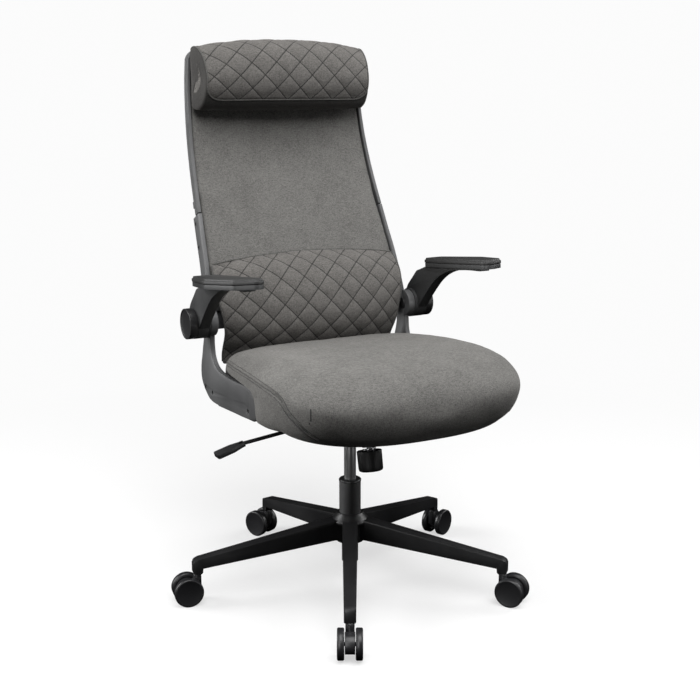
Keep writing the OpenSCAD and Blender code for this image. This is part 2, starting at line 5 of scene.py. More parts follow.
import bmesh
import bpy
import numpy as np
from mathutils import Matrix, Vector, noise
from mathutils.bvhtree import BVHTree
from mathutils.kdtree import KDTree

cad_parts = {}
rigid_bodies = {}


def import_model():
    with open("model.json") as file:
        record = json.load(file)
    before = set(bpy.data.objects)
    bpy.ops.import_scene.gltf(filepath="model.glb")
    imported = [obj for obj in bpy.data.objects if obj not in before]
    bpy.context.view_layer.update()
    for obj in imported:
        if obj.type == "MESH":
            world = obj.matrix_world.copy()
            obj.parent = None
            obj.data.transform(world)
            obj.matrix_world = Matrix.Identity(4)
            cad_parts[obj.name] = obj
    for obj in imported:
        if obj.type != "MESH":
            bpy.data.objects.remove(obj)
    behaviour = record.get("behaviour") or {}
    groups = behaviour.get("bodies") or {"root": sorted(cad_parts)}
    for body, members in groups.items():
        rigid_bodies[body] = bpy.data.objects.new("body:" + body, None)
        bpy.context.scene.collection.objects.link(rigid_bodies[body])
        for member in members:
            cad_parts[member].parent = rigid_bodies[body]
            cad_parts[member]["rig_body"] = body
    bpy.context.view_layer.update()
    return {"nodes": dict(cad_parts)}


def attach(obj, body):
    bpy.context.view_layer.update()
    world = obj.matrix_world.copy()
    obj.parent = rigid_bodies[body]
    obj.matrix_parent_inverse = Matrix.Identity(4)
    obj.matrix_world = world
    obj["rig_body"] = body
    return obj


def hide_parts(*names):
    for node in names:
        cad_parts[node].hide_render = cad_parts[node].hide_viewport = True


MM = 0.001
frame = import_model()
NODES = frame["nodes"]


# ---------------------------------------------------------------- shared shapes

# the back's side curve as a Bezier in (y, z)
CURVE = np.array([[0.172, 0.520], [0.180, 0.730], [0.380, 0.872], [0.358, 1.150]])


def bezier(t):
    t = np.asarray(t, float)[..., None]
    return ((1 - t) ** 3 * CURVE[0] + 3 * (1 - t) ** 2 * t * CURVE[1]
            + 3 * (1 - t) * t * t * CURVE[2] + t ** 3 * CURVE[3])


def bezier_slope(t):
    t = np.asarray(t, float)[..., None]
    return (3 * (1 - t) ** 2 * (CURVE[1] - CURVE[0]) + 6 * (1 - t) * t * (CURVE[2] - CURVE[1])
            + 3 * t * t * (CURVE[3] - CURVE[2]))


def on_back(x, z, d):
    """Points on the back at side position x and height z, moved back by d, as an array of xyz."""
    x, z, d = np.broadcast_arrays(np.asarray(x, float), np.asarray(z, float), np.asarray(d, float))
    t = np.full(z.shape, 0.5)
    for _ in range(9):
        t = t - (bezier(t)[..., 1] - z) / bezier_slope(t)[..., 1]
    p, s = bezier(t), bezier_slope(t)
    s = s / np.linalg.norm(s, axis=-1, keepdims=True)
    return np.stack([x, p[..., 0] + d * s[..., 1], p[..., 1] - d * s[..., 0]], -1)


def half_w(z):
    """Half the width of the back frame at height z."""
    s = np.maximum(0, (np.asarray(z, float) - 0.530) / 0.600)
    return 0.250 - 0.050 * s + 0.012 * s * s


def catmull(points, k):
    """A smooth curve through points, k steps between each two."""
    p = np.array(points, float)
    n = len(p)
    out = []
    for i in range(n - 1):
        a, b, c, d = (p[min(max(i + j, 0), n - 1)] for j in (-1, 0, 1, 2))
        for t in np.arange(k) / k:
            out.append(0.5 * (2 * b + (c - a) * t + (2 * a - 5 * b + 4 * c - d) * t * t
                              + (3 * b - a - 3 * c + d) * t ** 3))
    out.append(p[-1])
    return np.array(out)


def even(points, step):
    """The curve resampled to even steps."""
    p = np.array(points, float)
    s = np.concatenate([[0], np.cumsum(np.linalg.norm(np.diff(p, axis=0), axis=1))])
    at = np.linspace(0, s[-1], max(2, int(round(s[-1] / step)) + 1))
    return np.stack([np.interp(at, s, p[:, i]) for i in range(p.shape[1])], 1)


def smooth_step(x, a, b):
    """Rises from 0 at a to 1 at b without a corner."""
    t = np.clip((np.asarray(x, float) - a) / (b - a), 0, 1)
    return t * t * (3 - 2 * t)


# ---------------------------------------------------------------- meshes

def new_object(name, verts, faces, material=None):
    mesh = bpy.data.meshes.new(name)
    mesh.from_pydata([tuple(v) for v in verts], [], [tuple(f) for f in faces])
    mesh.validate()
    obj = bpy.data.objects.new(name, mesh)
    bpy.context.scene.collection.objects.link(obj)
    if material:
        mesh.materials.append(material)
    mesh.polygons.foreach_set("use_smooth", [True] * len(mesh.polygons))
    return obj


def outward(obj):
    """Turns every face outward."""
    bm = bmesh.new()
    bm.from_mesh(obj.data)
    bmesh.ops.recalc_face_normals(bm, faces=bm.faces)
    bm.to_mesh(obj.data)
    bm.free()
    return obj


def loft(name, rings, material=None):
    """A skin over closed rings of equal length, filled at both ends."""
    rings = [np.asarray(r, float) for r in rings]
    n, m = len(rings[0]), len(rings)
    verts = [tuple(v) for r in rings for v in r]
    faces = []
    for i in range(m - 1):
        for j in range(n):
            k = (j + 1) % n
            faces.append((i * n + j, i * n + k, (i + 1) * n + k, (i + 1) * n + j))
    for base, ring in ((0, rings[0]), ((m - 1) * n, rings[-1])):
        verts.append(tuple(ring.mean(0)))
        c = len(verts) - 1
        faces += [(base + j, base + (j + 1) % n, c) for j in range(n)]
    return outward(new_object(name, verts, faces, material))


def tube(name, path, radius, material, sides=8):
    """A round tube along a path of points."""
    p = np.asarray(path, float)
    tangent = np.roll(p, -1, 0) - np.roll(p, 1, 0)
    tangent[0], tangent[-1] = p[1] - p[0], p[-1] - p[-2]
    tangent /= np.linalg.norm(tangent, axis=1, keepdims=True)
    side = np.cross(tangent[0], [0.12, 0.35, 0.93])
    side /= np.linalg.norm(side)
    rings = []
    for q, t in zip(p, tangent):
        side = side - t * (side @ t)
        side /= np.linalg.norm(side)
        up = np.cross(t, side)
        rings.append([q + radius * (math.cos(a) * side + math.sin(a) * up)
                      for a in np.arange(sides) * 2 * math.pi / sides])
    return loft(name, rings, material)


def prism(name, outline, x0, x1):
    """A flat (y, z) outline made solid from x0 to x1."""
    n = len(outline)
    verts = [(x, y, z) for x in (x0, x1) for y, z in outline]
    faces = [(i, (i + 1) % n, n + (i + 1) % n, n + i) for i in range(n)]
    faces += [tuple(range(n)), tuple(range(2 * n - 1, n - 1, -1))]
    return outward(new_object(name, verts, faces))


def weld(obj, distance):
    """Joins points that lie closer together than the distance."""
    bm = bmesh.new()
    bm.from_mesh(obj.data)
    bmesh.ops.remove_doubles(bm, verts=bm.verts, dist=distance)
    bmesh.ops.recalc_face_normals(bm, faces=bm.faces)
    bm.to_mesh(obj.data)
    bm.free()
    return obj


def join(name, objects):
    """Makes one object of several."""
    bpy.ops.object.select_all(action="DESELECT")
    for o in objects:
        o.select_set(True)
    bpy.context.view_layer.objects.active = objects[0]
    if len(objects) > 1:
        bpy.ops.object.join()
    obj = objects[0]
    obj.name = obj.data.name = name
    return obj


def apply_modifiers(obj):
    bpy.context.view_layer.update()
    bpy.ops.object.select_all(action="DESELECT")
    obj.select_set(True)
    bpy.context.view_layer.objects.active = obj
    for m in list(obj.modifiers):
        bpy.ops.object.modifier_apply(modifier=m.name)
    return obj


def coords(obj):
    co = np.zeros(len(obj.data.vertices) * 3)
    obj.data.vertices.foreach_get("co", co)
    return co.reshape(-1, 3)


def set_coords(obj, co):
    obj.data.vertices.foreach_set("co", np.ascontiguousarray(co, float).ravel())
    obj.data.update()


def normals(obj):
    n = np.zeros(len(obj.data.vertices) * 3)
    obj.data.vertices.foreach_get("normal", n)
    return n.reshape(-1, 3)


def put(obj, name, values):
    """Stores one number per vertex."""
    a = obj.data.attributes.get(name) or obj.data.attributes.new(name, "FLOAT", "POINT")
    a.data.foreach_set("value", np.ascontiguousarray(values, np.float32))


def get(obj, name):
    values = np.zeros(len(obj.data.vertices), np.float32)
    obj.data.attributes[name].data.foreach_get("value", values)
    return values.astype(float)


def ripple(co, scale, seed=0.0):
    """Smooth noise from -1 to 1 at each point."""
    off = Vector((seed * 7.3, seed * 3.1, seed * 5.7))
    return np.array([noise.noise(Vector(c) * scale + off) for c in co])


def soften(node, material, slot, width, segments=2, angle=28):
    """A shown copy of a hard CAD node with its sharp edges eased."""
    source = NODES[node]
    obj = bpy.data.objects.new(node + "_shell", source.data.copy())
    bpy.context.scene.collection.objects.link(obj)
    obj.data.materials.clear()
    obj.data.materials.append(material)
    bm = bmesh.new()
    bm.from_mesh(obj.data)
    bmesh.ops.remove_doubles(bm, verts=bm.verts, dist=2e-6)
    bmesh.ops.dissolve_limit(bm, angle_limit=math.radians(0.6), verts=bm.verts, edges=bm.edges)
    bmesh.ops.recalc_face_normals(bm, faces=bm.faces)
    for f in bm.faces:
        f.smooth = True
    bm.to_mesh(obj.data)
    bm.free()
    if width:
        bevel = obj.modifiers.new("ease", "BEVEL")
        bevel.width = width
        bevel.segments = segments
        bevel.limit_method = "ANGLE"
        bevel.angle_limit = math.radians(angle)
        bevel.use_clamp_overlap = True
        bevel.miter_outer = "MITER_ARC"
        bevel.harden_normals = False
        apply_modifiers(obj)
    sharp(obj, 50)
    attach(obj, source["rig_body"])
    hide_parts(node)
    return obj


def sharp(obj, angle):
    """Smooth shading with hard edges kept sharper than the angle."""
    bm = bmesh.new()
    bm.from_mesh(obj.data)
    limit = math.radians(angle)
    for e in bm.edges:
        e.smooth = not (len(e.link_faces) == 2 and e.calc_face_angle(0) > limit)
    for f in bm.faces:
        f.smooth = True
    bm.to_mesh(obj.data)
    bm.free()
    return obj


# ---------------------------------------------------------------- materials

def nodes_of(name):
    m = bpy.data.materials.new(name)
    m.use_nodes = True
    t = m.node_tree
    shader = next(n for n in t.nodes if n.type == "BSDF_PRINCIPLED")
    return m, t, shader


def link(t, a, b):
    t.links.new(a, b)


def noise_node(t, scale, detail=2.0, stretch=None, roughness=0.5):
    coord = t.nodes.new("ShaderNodeTexCoord")
    out = coord.outputs["Object"]
    if stretch:
        mapping = t.nodes.new("ShaderNodeMapping")
        mapping.inputs["Scale"].default_value = stretch
        link(t, out, mapping.inputs["Vector"])
        out = mapping.outputs["Vector"]
    n = t.nodes.new("ShaderNodeTexNoise")
    n.inputs["Scale"].default_value = scale
    n.inputs["Detail"].default_value = detail
    n.inputs["Roughness"].default_value = roughness
    link(t, out, n.inputs["Vector"])
    return n.outputs["Fac"]


def maths(t, operation, a, b=None):
    n = t.nodes.new("ShaderNodeMath")
    n.operation = operation
    for i, v in enumerate((a, b)):
        if v is None:
            continue
        if isinstance(v, (int, float)):
            n.inputs[i].default_value = v
        else:
            link(t, v, n.inputs[i])
    return n.outputs[0]


def remap(t, value, a, b, lo, hi):
    n = t.nodes.new("ShaderNodeMapRange")
    n.clamp = True
    for i, v in zip((1, 2, 3, 4), (a, b, lo, hi)):
        n.inputs[i].default_value = v
    link(t, value, n.inputs[0])
    return n.outputs[0]


def mix_colour(t, factor, a, b):
    n = t.nodes.new("ShaderNodeMix")
    n.data_type = "RGBA"
    if isinstance(factor, (int, float)):
        n.inputs[0].default_value = factor
    else:
        link(t, factor, n.inputs[0])
    for i, v in ((6, a), (7, b)):
        if isinstance(v, (tuple, list)):
            n.inputs[i].default_value = (*v[:3], 1)
        else:
            link(t, v, n.inputs[i])
    return n.outputs[2]


def bump(t, height, strength, distance, below=None):
    n = t.nodes.new("ShaderNodeBump")
    n.inputs["Strength"].default_value = strength
    n.inputs["Distance"].default_value = distance
    link(t, height, n.inputs["Height"])
    if below is not None:
        link(t, below, n.inputs["Normal"])
    return n.outputs["Normal"]


def plastic(name, colour, rough, grain=0.25, grain_scale=1500, wear=0.06, coat=0.0, metallic=0.0, specular=0.5):
    """Moulded plastic or painted metal with a fine grain, broad unevenness in gloss and faint handling marks."""
    m, t, s = nodes_of(name)
    broad = noise_node(t, 9, 3)
    fine = noise_node(t, grain_scale, 2)
    marks = noise_node(t, 60, 5, (1, 1, 0.3), 0.7)
    dark = tuple(c * 0.86 for c in colour)
    light = tuple(min(1, c * 1.12 + 0.002) for c in colour)
    link(t, mix_colour(t, remap(t, broad, 0.3, 0.7, 0, 1), dark, light), s.inputs["Base Color"])
    r = maths(t, "ADD", remap(t, broad, 0.3, 0.7, rough - wear, rough + wear), remap(t, marks, 0.45, 0.75, 0, wear))
    link(t, r, s.inputs["Roughness"])
    s.inputs["Metallic"].default_value = metallic
    s.inputs["Specular IOR Level"].default_value = specular
    s.inputs["Coat Weight"].default_value = coat
    s.inputs["Coat Roughness"].default_value = 0.25
    if grain:
        link(t, bump(t, fine, grain, 0.00025), s.inputs["Normal"])
    return m


def cloth(name, dark, light, quilt=False):
    """Heather linen weave: short slubs along both threads, with sewn diamonds where the mesh carries them."""
    m, t, s = nodes_of(name)
    warp = noise_node(t, 1.0, 2, (620, 620, 150), 0.6)
    weft = noise_node(t, 1.0, 2, (150, 150, 760), 0.6)
    speck = noise_node(t, 900, 2, None, 0.7)
    broad = noise_node(t, 22, 3)
    threads = maths(t, "ADD", maths(t, "MULTIPLY", warp, 0.5), maths(t, "MULTIPLY", weft, 0.5))
    blend = maths(t, "ADD", maths(t, "MULTIPLY", threads, 0.55), maths(t, "MULTIPLY", speck, 0.45))
    blend = maths(t, "ADD", blend, remap(t, broad, 0.3, 0.7, -0.02, 0.02))
    colour = mix_colour(t, remap(t, blend, 0.38, 0.62, 0, 1), dark, light)
    height = maths(t, "ADD", threads, maths(t, "MULTIPLY", speck, 0.6))
    normal = bump(t, height, 0.55, 0.0006)
    if quilt:
        uv = t.nodes.new("ShaderNodeUVMap")
        uv.uv_map = "quilt"
        split = t.nodes.new("ShaderNodeSeparateXYZ")
        link(t, uv.outputs[0], split.inputs[0])
        mask = t.nodes.new("ShaderNodeAttribute")
        mask.attribute_name = "panel"
        inside = remap(t, mask.outputs["Fac"], 0.45, 0.55, 0, 1)
        # outside the sewn panel the fabric is made much darker: in part the darker plain fabric of the headrest's
        # sides and lower band, in part painted shade on those faces
        colour = mix_colour(t, remap(t, inside, 0, 1, 0.26, 1), (0.010, 0.010, 0.010), colour)
        sewn = None
        for here, along in ((0, 1), (1, 0)):
            near = maths(t, "PINGPONG", split.outputs[here], 0.5)
            row = remap(t, near, 0.018, 0.036, 1, 0)
            stitch = maths(t, "PINGPONG", maths(t, "MULTIPLY", split.outputs[along], 8.0), 0.5)
            row = maths(t, "MULTIPLY", row, remap(t, stitch, 0.06, 0.14, 0.55, 1))
            sewn = row if sewn is None else maths(t, "MAXIMUM", sewn, row)
        sewn = maths(t, "MULTIPLY", sewn, inside)
        colour = mix_colour(t, maths(t, "MULTIPLY", sewn, 0.88), colour, (0.012, 0.012, 0.012))
        normal = bump(t, maths(t, "SUBTRACT", 1.0, sewn), 0.5, 0.0006, normal)
    link(t, colour, s.inputs["Base Color"])
    link(t, normal, s.inputs["Normal"])
    link(t, remap(t, speck, 0.3, 0.7, 0.82, 0.96), s.inputs["Roughness"])
    s.inputs["Specular IOR Level"].default_value = 0.25
    s.inputs["Sheen Weight"].default_value = 0.22
    s.inputs["Sheen Roughness"].default_value = 0.45
    s.inputs["Sheen Tint"].default_value = (0.75, 0.73, 0.7, 1)
    return m


FABRIC = cloth("heather_fabric", (0.075, 0.073, 0.069), (0.235, 0.230, 0.218))
QUILT = cloth("quilted_fabric", (0.070, 0.066, 0.062), (0.215, 0.205, 0.193), quilt=True)
DARK_CLOTH = cloth("dark_fabric", (0.016, 0.016, 0.016), (0.034, 0.034, 0.034))
PIPING = cloth("piping_fabric", (0.045, 0.044, 0.042), (0.14, 0.137, 0.13))
THREAD = cloth("sewing_thread", (0.02, 0.02, 0.02), (0.05, 0.05, 0.05))
FRAME = plastic("frame_plastic_look", (0.108, 0.109, 0.111), 0.46, grain=0.3)
ARM = plastic("arm_plastic_look", (0.046, 0.047, 0.048), 0.46, grain=0.3)
SOFT_BLACK = plastic("black_plastic_look", (0.024, 0.024, 0.025), 0.42, grain=0.3)
KNOB = plastic("knob_look", (0.008, 0.008, 0.008), 0.5, grain=0.3, specular=0.3)
NYLON = plastic("nylon_look", (0.015, 0.015, 0.016), 0.42, grain=0.35)
CASTOR = plastic("castor_look", (0.022, 0.022, 0.024), 0.36, grain=0.12)
PAD = plastic("arm_pad_look", (0.036, 0.036, 0.036), 0.5, grain=0.45, grain_scale=2200)
STEEL_BLACK = plastic("painted_steel_look", (0.024, 0.024, 0.025), 0.34, grain=0.15, coat=0.2)
TUBE = plastic("tube_look", (0.13, 0.13, 0.132), 0.4, grain=0.15)
SATIN = plastic("satin_column_look", (0.42, 0.42, 0.425), 0.38, grain=0.15, metallic=0.7)
ZINC = plastic("zinc_look", (0.48, 0.48, 0.49), 0.34, grain=0.15, metallic=1.0)
CHROME = plastic("chrome_look", (0.70, 0.70, 0.72), 0.12, grain=0.0, metallic=1.0, wear=0.03)
WOOD = plastic("plywood_look", (0.40, 0.27, 0.15), 0.7, grain=0.4, grain_scale=600)

# ---------------------------------------------------------------- padded pieces

def inflate(obj, pin, pressure=4.0, cap=0.007, steps=16, stiffness=12.0):
    """Blows a closed skin up a little as cloth; pin is how firmly each point is held, from 0 to 1."""
    rest = coords(obj)
    group = obj.vertex_groups.new(name="held")
    level = np.round(np.clip(pin, 0, 1) * 8).astype(int)
    for k in range(1, 9):
        group.add([int(i) for i in np.nonzero(level == k)[0]], k / 8, "REPLACE")
    m = obj.modifiers.new("cloth", "CLOTH")
    s = m.settings
    s.quality = 5
    s.mass = 0.3
    s.tension_stiffness = s.compression_stiffness = stiffness
    s.shear_stiffness = stiffness * 0.5
    s.bending_stiffness = 0.6
    s.use_pressure = True
    s.uniform_pressure_force = pressure
    s.effector_weights.gravity = 0
    s.vertex_group_mass = "held"
    m.collision_settings.use_collision = False
    m.point_cache.frame_start = 1
    m.point_cache.frame_end = steps
    scene = bpy.context.scene
    for f in range(1, steps + 1):
        scene.frame_set(f)
    apply_modifiers(obj)
    scene.frame_set(1)
    move = coords(obj) - rest
    length = np.linalg.norm(move, axis=1, keepdims=True)
    move *= np.where(length > 1e-9, cap * np.tanh(length / cap) / np.maximum(length, 1e-9), 0)
    set_coords(obj, rest + move)
    obj.vertex_groups.clear()
    return obj


def subdivide(obj, levels=1):
    m = obj.modifiers.new("fine", "SUBSURF")
    m.levels = m.render_levels = levels
    m.uv_smooth = "NONE"
    return apply_modifiers(obj)


def diamonds(obj, width, height, depth, edge, shift=0.0):
    """Sews diamonds into the panel: obj carries px, pv (place on the panel) and panel (0 to 1)."""
    px, pv, inside = get(obj, "px"), get(obj, "pv"), get(obj, "panel")
    a, b = (px - shift) / width + pv / height, (px - shift) / width - pv / height
    near = [np.abs(q - np.round(q)) for q in (a, b)]
    plump = (np.sin(np.pi * near[0]) * np.sin(np.pi * near[1])) ** 0.42
    fold = 0.10 * ripple(np.stack([px, pv, px * 0], 1), 70, 2)
    ease = smooth_step(edge, 0.0, 0.012)
    move = -depth * (1 - plump) * (0.95 + fold) * ease * inside
    set_coords(obj, coords(obj) + normals(obj) * move[:, None])
    layer = obj.data.uv_layers.new(name="quilt")
    index = np.zeros(len(obj.data.loops), int)
    obj.data.loops.foreach_get("vertex_index", index)
    layer.data.foreach_set("uv", np.stack([a[index], b[index]], 1).astype(np.float32).ravel())


def place(obj, path, lift):
    """Points on obj's skin at panel places, found between the nearest carried ones."""
    keys = np.stack([get(obj, "px"), get(obj, "pv")], 1)
    co, nor = coords(obj), normals(obj)
    tree = KDTree(len(co))
    for i, (u, v) in enumerate(keys):
        tree.insert((u, v, 0), i)
    tree.balance()
    out = []
    for u, v in path:
        found = tree.find_n((u, v, 0), 5)
        w = np.array([1 / (f[2] ** 2 + 1e-8) for f in found])
        k = [f[1] for f in found]
        out.append(((co[k] + nor[k] * lift) * w[:, None]).sum(0) / w.sum())
    return smooth_path(np.array(out), 2)


def smooth_path(p, rounds):
    """The path with its small corners eased, its ends kept."""
    for _ in range(rounds):
        q = (np.roll(p, 1, 0) + 2 * p + np.roll(p, -1, 0)) / 4
        q[0], q[-1] = p[0], p[-1]
        p = q
    return p


def stitches(name, path, normal, length=0.0042, gap=0.0022, radius=0.00045):
    """A row of short thread stitches along a path on a surface."""
    p = even(np.hstack([path, normal]), length + gap)
    verts, faces = [], []
    for i in range(1, len(p) - 1):
        c, n = p[i, :3], p[i, 3:]
        d = p[i + 1, :3] - p[i - 1, :3]
        d = d / np.linalg.norm(d)
        n = n - d * (n @ d)
        n = n / max(np.linalg.norm(n), 1e-9)
        s = np.cross(d, n)
        c = c + n * radius * 0.5
        base = len(verts)
        verts += [c - d * length / 2 - n * radius, c + d * length / 2 - n * radius]
        for k in (-0.28, 0.28):
            verts += [c + d * length * k + radius * (math.cos(q) * s + math.sin(q) * n)
                      for q in np.arange(5) * 2 * math.pi / 5]
        for k in range(5):
            j = (k + 1) % 5
            faces += [(base, base + 2 + j, base + 2 + k), (base + 1, base + 7 + k, base + 7 + j),
                      (base + 2 + k, base + 2 + j, base + 7 + j, base + 7 + k)]
    return new_object(name, verts, faces, THREAD)


def on_skin(obj, path, lift=0.0):
    """The path moved onto obj's skin, with the skin's normals."""
    corners = [tuple(f.vertices) for f in obj.data.polygons]
    tree = BVHTree.FromPolygons([tuple(c) for c in coords(obj)], corners)
    hits = [tree.find_nearest(Vector(q)) for q in path]
    n = smooth_path(np.array([h[1] for h in hits]), 3)
    n /= np.linalg.norm(n, axis=1, keepdims=True)
    return smooth_path(np.array([h[0] for h in hits]), 2) + n * lift, n


def beside(path, normal, offset):
    """The path shifted sideways along the skin."""
    t = np.gradient(path, axis=0)
    t /= np.linalg.norm(t, axis=1, keepdims=True)
    return path + np.cross(t, normal) * offset


def finish_soft(obj, name, cad):
    """Names a padded piece and lets it stand for its CAD solid."""
    obj.name = obj.data.name = name
    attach(obj, "seat")
    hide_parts(cad)
    return obj


def trim(obj):
    """Lets a seam, piping or row of stitches ride with the seat."""
    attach(obj, "seat")
    return obj


# ---- seat

SEAT_Z, RAKE = 0.416, math.radians(4)
SEAT_MID, SEAT_FRONT, SEAT_BACK, SEAT_H = -0.100, -0.368, 0.161, 0.117


def from_seat(p):
    """Seat-plane points to the row frame."""
    p = np.asarray(p, float)
    c, s = math.cos(RAKE), math.sin(RAKE)
    return np.stack([p[..., 0], p[..., 1] * c + p[..., 2] * s, SEAT_Z - p[..., 1] * s + p[..., 2] * c], -1)


def to_seat(p):
    p = np.asarray(p, float)
    c, s = math.cos(RAKE), math.sin(RAKE)
    y, z = p[..., 1], p[..., 2] - SEAT_Z
    return np.stack([p[..., 0], y * c - z * s, y * s + z * c], -1)


def seat_outline(side, front, blunt, count):
    a = np.linspace(-math.pi / 2, 1.5 * math.pi, 6001)[:-1]
    s, c = np.sin(a), np.cos(a)
    e = np.where(s < 0, blunt, 9.0)
    reach = np.where(s < 0, SEAT_MID - SEAT_FRONT - front, SEAT_BACK - SEAT_MID - side * 0.3)
    y = SEAT_MID + np.sign(s) * reach * np.abs(s) ** (2 / e)
    half = 0.272 * (1 - 0.12 * np.maximum(0, (y + 0.150) / 0.320))
    x = np.sign(c) * (half - side) * np.abs(c) ** (2 / e)
    return even_count(np.stack([x, y], 1), count)


def even_count(p, n):
    p = np.vstack([p, p[:1]])
    s = np.concatenate([[0], np.cumsum(np.linalg.norm(np.diff(p, axis=0), axis=1))])
    at = np.linspace(0, s[-1], n, endpoint=False)
    return np.stack([np.interp(at, s, p[:, i]) for i in range(p.shape[1])], 1)


def seat_height(y, share):
    """Height over the board plane at depth y: crowned along the depth, the front edge hanging below the board."""
    sag = 0.030 * np.clip((-0.200 - y) / 0.160, 0, 1) ** 0.7
    return share * (SEAT_H - 0.18 * (y + 0.05) ** 2) - (1 - np.minimum(share, 1)) * sag


UNDERSIDE = 0.011  # how far above the board plane the seat is closed below
NOTCH_SIDE = 0.2335  # where the room for the side brackets begins


